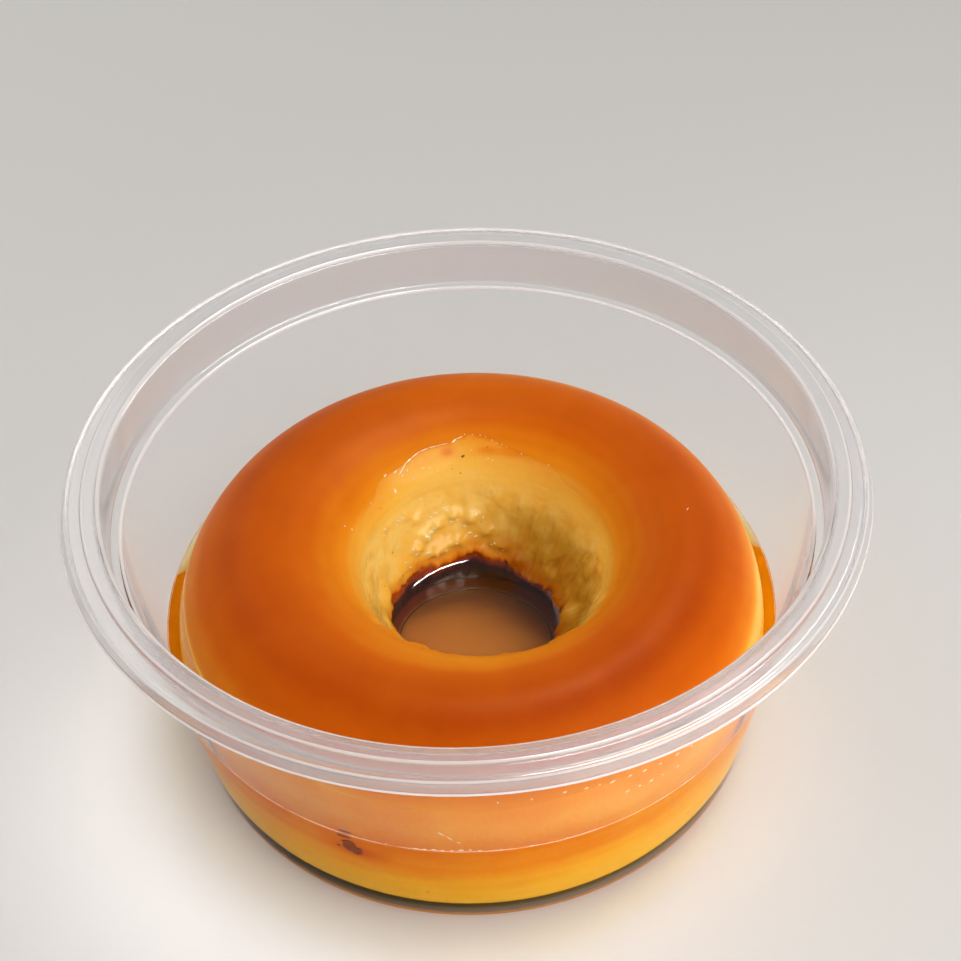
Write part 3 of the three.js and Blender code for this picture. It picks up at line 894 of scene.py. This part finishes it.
class PUDDING_OT_custard(bpy.types.Operator):
    """Make the custard ring with its rough hole"""

    bl_idname = "pudding.custard"
    bl_label = "Custard"

    def rows(self):
        """Points down the ring's outline, with a run.

        It goes from 0 to 1 over the base and side, to 2 over the crown, to 3 down the wall of the hole
        and to 4 under that wall.
        """
        base = CUSTARD_LOW.z
        rows = [(HOLE_FOOT_RADIUS + 6 * MM, base, 0.0), (BASE_RADIUS - 1.6 * MM, base, 0.02)]
        for i in range(1, SIDE_ROWS):
            run = i / SIDE_ROWS
            z = mix(base + 0.2 * MM, SIDE_HEIGHT, run)
            rows.append((side_radius(z), z, run))
        for i in range(CROWN_ROWS):
            u = i / CROWN_ROWS
            rows.append((*crown(u), 1 + u))
        for i in range(WALL_ROWS + 1):
            w = i / WALL_ROWS
            rows.append((0.02, mix(LIP_HOLE_HEIGHT, WAIST_HEIGHT, w), 2 + w))
        for i in range(1, FOOT_ROWS + 1):
            rows.append((0.02, mix(WAIST_HEIGHT, base, i / FOOT_ROWS), 3 + i / FOOT_ROWS))
        return rows

    def place(self, run, degrees, vert):
        """Where a point goes, its tone, how wet it is and how much it is darkened, partly by syrup and partly
        as painted shade.
        """
        if run < 1:
            wobble = noise.noise(vert.co * 60) * 0.12 * MM
            vert.co += Vector((vert.co.x, vert.co.y, 0)).normalized() * wobble
            low = smooth((vert.co.z - 2 * MM) / (21 * MM))
            layers = waver(degrees, 25, vert.co.z / MM * 0.6, 1.4) * 0.07
            halo = 0.3 * hill(turn_between(degrees, 248), 5) * hill(vert.co.z - 19 * MM, 2 * MM)
            return mix(0.06, tone_across(0, degrees), low) + layers + halo, 0.15, 0.0
        if run < 2:
            u = run - 1
            start, end = cap_start(degrees), cap_end(degrees)
            covered = smooth((u - start + 0.006) / 0.012) * smooth((end + 0.008 - u) / 0.016)
            vert.co = on_crown(degrees, u, film_depth(u, degrees) * covered)
            return tone_across(u, degrees) - bare_tone(degrees) * smooth((u - end) / 0.01), 0.35, 0.0
        if run <= 3:
            w = run - 2
            z = mix(LIP_HOLE_HEIGHT, WAIST_HEIGHT + edge_rise(degrees), w)
            vert.co = on_hole_wall(degrees, z)
            # Painted shade: the right wall, turned away from the key light, gets a darker tone and a
            # darkening mask that is partly syrup stain and partly painted shade.
            right = smooth((95 - abs(turn_between(degrees, 15))) / 60)
            mottle = 0.5 + noise.noise(vert.co / (3.5 * MM))
            tone = along(TONE_DOWN, w) + 0.10 * right * smooth(w / 0.2)
            tone += (mottle - 0.5) * 0.16 * smooth(w / 0.3)
            tone -= bare_tone(degrees) * smooth(1 - w / 0.12)
            stain_and_shade = right * smooth((w - 0.1) / 0.45) * min(1.0, 0.75 + 0.5 * mottle)
            return tone, mix(0.35, 0.9, smooth(w / 0.15)), stain_and_shade
        f = run - 3
        bottom = WAIST_HEIGHT + edge_rise(degrees)
        z = mix(bottom, CUSTARD_LOW.z, f ** 0.8)
        rise = max(0.0, bottom - WAIST_HEIGHT)
        flare = mix(HOLE_FLARE_RADIUS, HOLE_FOOT_RADIUS, smooth((HOLE_FLARE_HEIGHT - z) / HOLE_FLARE_HEIGHT))
        start = wall_line(bottom)[1] + EDGE_UNDERCUT
        r = mix(start, max(flare, WAIST_RADIUS + 3 * MM + rise * 0.5), smooth(f * 2.2) ** 0.7)
        vert.co = in_hole(r, degrees, z)
        # Painted shade and syrup: under the wall of the hole the tone runs to the darkest colour.
        return mix(0.95, SOAKED_AND_SHADED, smooth(f / 0.25)), 0.5, 0.0

    def execute(self, context):
        bm = bmesh.new()
        run_layer = rows_of(bm, self.rows())
        revolve(bm, CUSTARD_STEPS)
        tone_layer = bm.verts.layers.float.new("tone")
        wet_layer = bm.verts.layers.float.new("wet")
        stain_and_shade_layer = bm.verts.layers.float.new("stain_and_shade")
        for vert in bm.verts:
            degrees = angle_of(vert)
            vert[tone_layer], vert[wet_layer], vert[stain_and_shade_layer] = self.place(vert[run_layer], degrees, vert)
        bmesh.ops.recalc_face_normals(bm, faces=bm.faces)
        for face in bm.faces:
            face.material_index = int(max(vert[run_layer] for vert in face.verts) < 1.06)
        wet = pudding_material("Custard", 0.22, 0.5, 0.40, 0.6, 0.7, 0.2)
        sunk = pudding_material("Custard in syrup", 0.22, 0.5, 0.6, 0.0, 0.7, 0.2, specular=0.0)
        add_piece(bm, "custard_ring", [wet, sunk], "custard", "custard")
        return {"FINISHED"}


def film_depth(u, degrees):
    """How thick the caramel film is: a hair, except along its torn edge behind the hole."""
    torn = hill(turn_between(degrees, 112), 24) * smooth((u - 0.8) / 0.06)
    outer = smooth((0.2 - u) / 0.04) * 0.5
    return FILM + (0.28 * torn + 0.12 * outer) * MM


class PUDDING_OT_caramel(bpy.types.Operator):
    """Make the caramel film on the crown"""

    bl_idname = "pudding.caramel"
    bl_label = "Caramel film"

    def execute(self, context):
        bm = bmesh.new()
        steps = [i / CAP_ROWS for i in range(CAP_ROWS + 1)]
        steps = [t - 0.9 * math.sin(2 * math.pi * t) / (2 * math.pi) for t in steps]
        first, last = CAP_ACROSS
        top = [(*crown(mix(first, last, t)), t) for t in steps]
        back = [i / CAP_UNDER_ROWS for i in range(CAP_UNDER_ROWS + 1)]
        below = [(*under_crown(mix(last, first, t), CAP_DEPTH), 3 - t) for t in back]
        run_layer = rows_of(bm, top + below)
        revolve(bm, CUSTARD_STEPS)
        tone_layer = bm.verts.layers.float.new("tone")
        wet_layer = bm.verts.layers.float.new("wet")
        for vert in bm.verts:
            degrees = angle_of(vert)
            run = vert[run_layer]
            across = run if run <= 1 else run - 2
            start, end = cap_start(degrees), cap_end(degrees)
            u = mix(start - 0.004, end + 0.004, across)
            if run > 1:
                depth = CAP_DEPTH
            else:
                inside = smooth((u - start + 0.004) / 0.008) * smooth((end + 0.004 - u) / 0.008)
                depth = mix(film_depth(u, degrees) + 0.03 * MM, 0.0, inside)
            vert.co = on_crown(degrees, u, depth)
            # Painted highlight: along the film's outer edge on the left the tone is made paler, as a lighter
            # line.
            left_edge_highlight = hill(turn_between(degrees, 190), 45)
            vert[tone_layer] = tone_across(u, degrees) - 0.45 * left_edge_highlight * hill(u - start, 0.012)
            vert[wet_layer] = 0.4
        bmesh.ops.recalc_face_normals(bm, faces=bm.faces)
        material = pudding_material("Caramel", 0.14, 0.15, 0.50, 0.0, 0.2, 0.2, specular=0.06)
        add_piece(bm, "caramel_film", [material], "caramel", "caramel_top", sharp=math.radians(35))
        return {"FINISHED"}


class PUDDING_OT_syrup(bpy.types.Operator):
    """Make the syrup in the hole and round the pudding"""

    bl_idname = "pudding.syrup"
    bl_label = "Syrup"

    def pool_edge(self, level):
        """The surface near the custard, where it climbs more and more steeply."""
        start, touch, climb, fade, steps = 8 * MM, POOL_TOUCH_RADIUS, 1.3 * MM, 2.0 * MM, 24
        radii = [mix(start, touch + MM, i / steps) for i in range(steps + 1)]
        return [(r, level + climb * math.exp((r - touch) / fade)) for r in radii]

    def execute(self, context):
        levels = context.scene.pudding_syrup
        colours = context.scene.pudding_colours
        into_wall = 0.3 * MM
        low = FLOOR_UNDERSIDE + 0.5 * MM
        level = levels.ring_level
        climb = levels.meniscus
        bm = bmesh.new()
        outline(bm, [
            (RING_INNER_RADIUS, low), (wall_inner(low) - 1.2 * MM, low, 0.8 * MM, 4),
            (wall_inner(low) + into_wall, low + 1.5 * MM, 0.8 * MM, 4),
            (wall_inner(level + climb) + into_wall, level + climb),
            (wall_inner(level) - 0.6 * MM, level, 0.5 * MM, 4),
            (SIDE_RADIUS + 0.3 * MM, level, 0.25 * MM, 3),
            (SIDE_RADIUS - 0.8 * MM, level + climb * 0.8), (RING_INNER_RADIUS, level - 2 * MM),
            (RING_INNER_RADIUS, low),
        ])
        revolve(bm, BOWL_STEPS)
        material = syrup_material("Syrup", colours.syrup, RING_IOR, RING_DENSITY, level)
        add_piece(bm, "syrup_round_pudding", [material], "syrup", "syrup_ring", sharp=math.radians(35))
        self.froth(level)
        level = levels.pool_level
        over_punt = low + PUNT_RISE
        bm = bmesh.new()
        outline(bm, [
            (0, over_punt), (PUNT_RADIUS - 0.3 * MM, over_punt), (PUNT_RADIUS + 0.4 * MM, low),
            (HOLE_FOOT_RADIUS + 1.5 * MM, low), (HOLE_FOOT_RADIUS + 0.5 * MM, HOLE_FLARE_HEIGHT),
            (HOLE_FLARE_RADIUS + 1.5 * MM, level), *reversed(self.pool_edge(level)), (0, level),
        ])
        revolve(bm, BOWL_STEPS)
        for vert in bm.verts:
            if vert.co.xy.length > MM:
                vert.co = in_hole(vert.co.xy.length, angle_of(vert), vert.co.z)
        material = syrup_material("Dark syrup", colours.dark_syrup, POOL_IOR, POOL_DENSITY, level)
        add_piece(bm, "syrup_in_hole", [material], "syrup", "syrup_pool", sharp=math.radians(35))
        return {"FINISHED"}

    def froth(self, level):
        """A thin uneven line of froth where the outer syrup meets the bowl."""
        height = level + 0.25 * MM
        bm = bmesh.new()
        bmesh.ops.create_circle(
            bm, cap_ends=False, segments=8, radius=0.11 * MM,
            matrix=Matrix.Translation((wall_inner(height), 0, height)) @ Matrix.Rotation(math.pi / 2, 4, "X"),
        )
        revolve(bm, CUSTARD_STEPS)
        for vert in bm.verts:
            degrees = math.degrees(math.atan2(vert.co.y, vert.co.x))
            middle = on_bowl(degrees, height)
            thick = 0.8 + 0.9 * waver(degrees, 1.3, 0.4, 2.7)
            vert.co = middle + (vert.co - middle) * thick
        bmesh.ops.recalc_face_normals(bm, faces=bm.faces)
        froth = bpy.context.scene.pudding_colours.froth
        add_piece(bm, "froth_line", [plain_material("Froth", froth, 0.35, 0.1)], "syrup")


class PUDDING_OT_beads(bpy.types.Operator):
    """Make the torn skin behind the hole and the wet beads, whose near-white colour is partly painted glint
    """

    bl_idname = "pudding.beads"
    bl_label = "Beads"

    def execute(self, context):
        bead = context.scene.pudding_colours.bead
        bm = bmesh.new()
        for from_degrees, from_u, degrees, u, wide in TORN_EDGE:
            start, end = on_crown(from_degrees, from_u), on_crown(degrees, u)
            blob(bm, on_crown, (from_degrees + degrees) / 2, (from_u + u) / 2, 0, (end - start).length * 1.1,
                 wide * MM, end - start)
        blobs(bm, on_crown, CROWN_BEADS_AND_GLINTS)
        add_piece(bm, "torn_skin_and_glints", [plain_material("Wet skin and glints", bead, 0.12, 1.0)], "caramel")
        bm = bmesh.new()
        blobs(bm, on_hole_wall, HOLE_GLINT_BEADS, longer=1.3, wider=1.8, ragged=0.45)
        blobs(bm, on_side, SIDE_GLINT_BEADS)
        add_piece(bm, "custard_glints", [plain_material("Wet custard glints", bead, 0.12, 1.0)], "custard")
        bm = bmesh.new()
        blobs(bm, on_bowl, BOWL_BEADS)
        add_piece(bm, "beads_on_bowl", [plain_material("Beads on bowl", bead, 0.3, 0.5)], "syrup")
        return {"FINISHED"}


class PUDDING_OT_flecks(bpy.types.Operator):
    """Make the burnt flecks on the custard and the specks on the bowl"""

    bl_idname = "pudding.flecks"
    bl_label = "Flecks"

    def execute(self, context):
        fleck = context.scene.pudding_colours.fleck
        bm = bmesh.new()
        blobs(bm, on_side, SIDE_FLECKS, ragged=0.5, flat=0.3)
        blobs(bm, on_crown, CROWN_FLECKS, flat=0.25)
        add_piece(bm, "burnt_flecks", [plain_material("Burnt fleck", fleck, 0.6, 0.0)], "custard")
        bm = bmesh.new()
        blobs(bm, on_bowl, BOWL_FLECKS, ragged=0.5, flat=0.2)
        add_piece(bm, "specks_on_bowl", [plain_material("Specks on bowl", fleck, 0.4, 0.3)], "syrup")
        return {"FINISHED"}


class PUDDING_OT_stage(bpy.types.Operator):
    """Set the floor, light and camera"""

    bl_idname = "pudding.stage"
    bl_label = "Stage"

    def execute(self, context):
        stage = context.scene.pudding_stage
        bm = bmesh.new()
        bmesh.ops.create_grid(bm, x_segments=8, y_segments=8, size=3.0)
        mesh = bpy.data.meshes.new("floor")
        bm.to_mesh(mesh)
        bm.free()
        floor = bpy.data.objects.new("floor", mesh)
        context.scene.collection.objects.link(floor)
        material, tree, out = new_material("Floor")
        mottle = tree.noise(6.0, 3.0)
        shade = tree.blend(mottle, tuple(stage.floor), tuple(c * 0.97 for c in stage.floor))
        shader = tree.add("ShaderNodeBsdfPrincipled", Roughness=0.6, Base_Color=shade)
        tree.set(out, "Surface", shader.outputs[0])
        mesh.materials.append(material)
        self.light(context, stage)
        self.camera(context)
        return {"FINISHED"}

    def light(self, context, stage):
        world = bpy.data.worlds.new("Studio")
        world.use_nodes = True
        background = world.node_tree.nodes["Background"]
        background.inputs["Color"].default_value = (1.0, 0.99, 0.97, 1)
        background.inputs["Strength"].default_value = stage.sky
        context.scene.world = world
        self.lamp(context, "Key", (0.40, -0.34, 0.48), stage.key, (1.0, 0.965, 0.92))
        self.lamp(context, "Fill", (-0.46, 0.42, 0.50), stage.fill, (1.0, 0.98, 0.96))
        front = self.lamp(context, "Front", (-0.14, -0.62, 0.16), stage.front, (1.0, 0.97, 0.94))
        front.visible_glossy = False
        strip = self.lamp(context, "Strip", (0.23, 0.19, 0.88), stage.strip, (1.0, 1.0, 1.0), (0.43, 0.06))
        along_strip = Vector((0.76, 0.56, -0.32)).normalized()
        facing = (strip.location - Vector((0, 0, 0.03))).normalized()
        across = facing.cross(along_strip).normalized()
        strip.rotation_euler = Matrix((across.cross(facing), across, facing)).transposed().to_euler()
        strip.visible_diffuse = False
        context.scene.view_settings.view_transform = "Standard"

    def lamp(self, context, name, place, power, tint, size=(0.6, 0.6)):
        data = bpy.data.lights.new(name, "AREA")
        data.shape = "DISK" if size[0] == size[1] else "RECTANGLE"
        data.size, data.size_y = size
        data.energy = power
        data.color = tint
        lamp = bpy.data.objects.new(name, data)
        lamp.location = place
        aim = Vector((0, 0, 0.03)) - lamp.location
        lamp.rotation_euler = aim.to_track_quat("-Z", "Y").to_euler()
        context.scene.collection.objects.link(lamp)
        return lamp

    def camera(self, context):
        """Looks at the foot's centre from the front and above, then pans, tilts and rolls a little."""
        distance, elevation = 316.63 * MM, math.radians(50.940)
        pan, tilt, roll = math.radians(-0.566), math.radians(7.387), math.radians(2.686)
        focal, picture_width, sensor = 1500, 961, 36
        place = Vector((0, -distance * math.cos(elevation), distance * math.sin(elevation)))
        forward = -place.normalized()
        right = Vector((1, 0, 0))
        up = right.cross(forward)
        forward, right = (Matrix.Rotation(pan, 3, up) @ v for v in (forward, right))
        forward, up = (Matrix.Rotation(tilt, 3, right) @ v for v in (forward, up))
        right, up = (Matrix.Rotation(roll, 3, forward) @ v for v in (right, up))
        data = bpy.data.cameras.new("Camera")
        data.sensor_width = sensor
        data.lens = focal / picture_width * sensor
        data.clip_start = 0.01
        camera = bpy.data.objects.new("Camera", data)
        axes = Matrix((right, up, -forward)).transposed()
        camera.matrix_world = Matrix.Translation(place) @ axes.to_4x4()
        context.scene.collection.objects.link(camera)
        context.scene.camera = camera


class PUDDING_PT_panel(bpy.types.Panel):
    """Lists the pieces and their sizes"""

    bl_idname = "PUDDING_PT_panel"
    bl_label = "Caramel pudding"
    bl_space_type = "VIEW_3D"
    bl_region_type = "UI"
    bl_category = "Pudding"

    def draw(self, context):
        for group in (context.scene.pudding_bowl, context.scene.pudding_syrup,
                      context.scene.pudding_colours, context.scene.pudding_stage):
            box = self.layout.box()
            for name in group.__annotations__:
                box.prop(group, name)
        for operator in PIECES:
            self.layout.operator(operator.bl_idname)


GROUPS = {
    "pudding_bowl": PUDDING_PG_bowl,
    "pudding_syrup": PUDDING_PG_syrup,
    "pudding_colours": PUDDING_PG_colours,
    "pudding_stage": PUDDING_PG_stage,
}
PIECES = (
    PUDDING_OT_bowl, PUDDING_OT_custard, PUDDING_OT_caramel, PUDDING_OT_syrup, PUDDING_OT_beads,
    PUDDING_OT_flecks, PUDDING_OT_stage,
)


def register():
    for cls in (*GROUPS.values(), *PIECES, PUDDING_PT_panel):
        bpy.utils.register_class(cls)
    for name, cls in GROUPS.items():
        setattr(bpy.types.Scene, name, bpy.props.PointerProperty(type=cls))


def unregister():
    for name in GROUPS:
        delattr(bpy.types.Scene, name)
    for cls in reversed((*GROUPS.values(), *PIECES, PUDDING_PT_panel)):
        bpy.utils.unregister_class(cls)


def main():
    register()
    bpy.ops.pudding.bowl()
    bpy.ops.pudding.custard()
    bpy.ops.pudding.caramel()
    bpy.ops.pudding.syrup()
    bpy.ops.pudding.beads()
    bpy.ops.pudding.flecks()
    bpy.ops.pudding.stage()


if __name__ == "__main__":
    main()
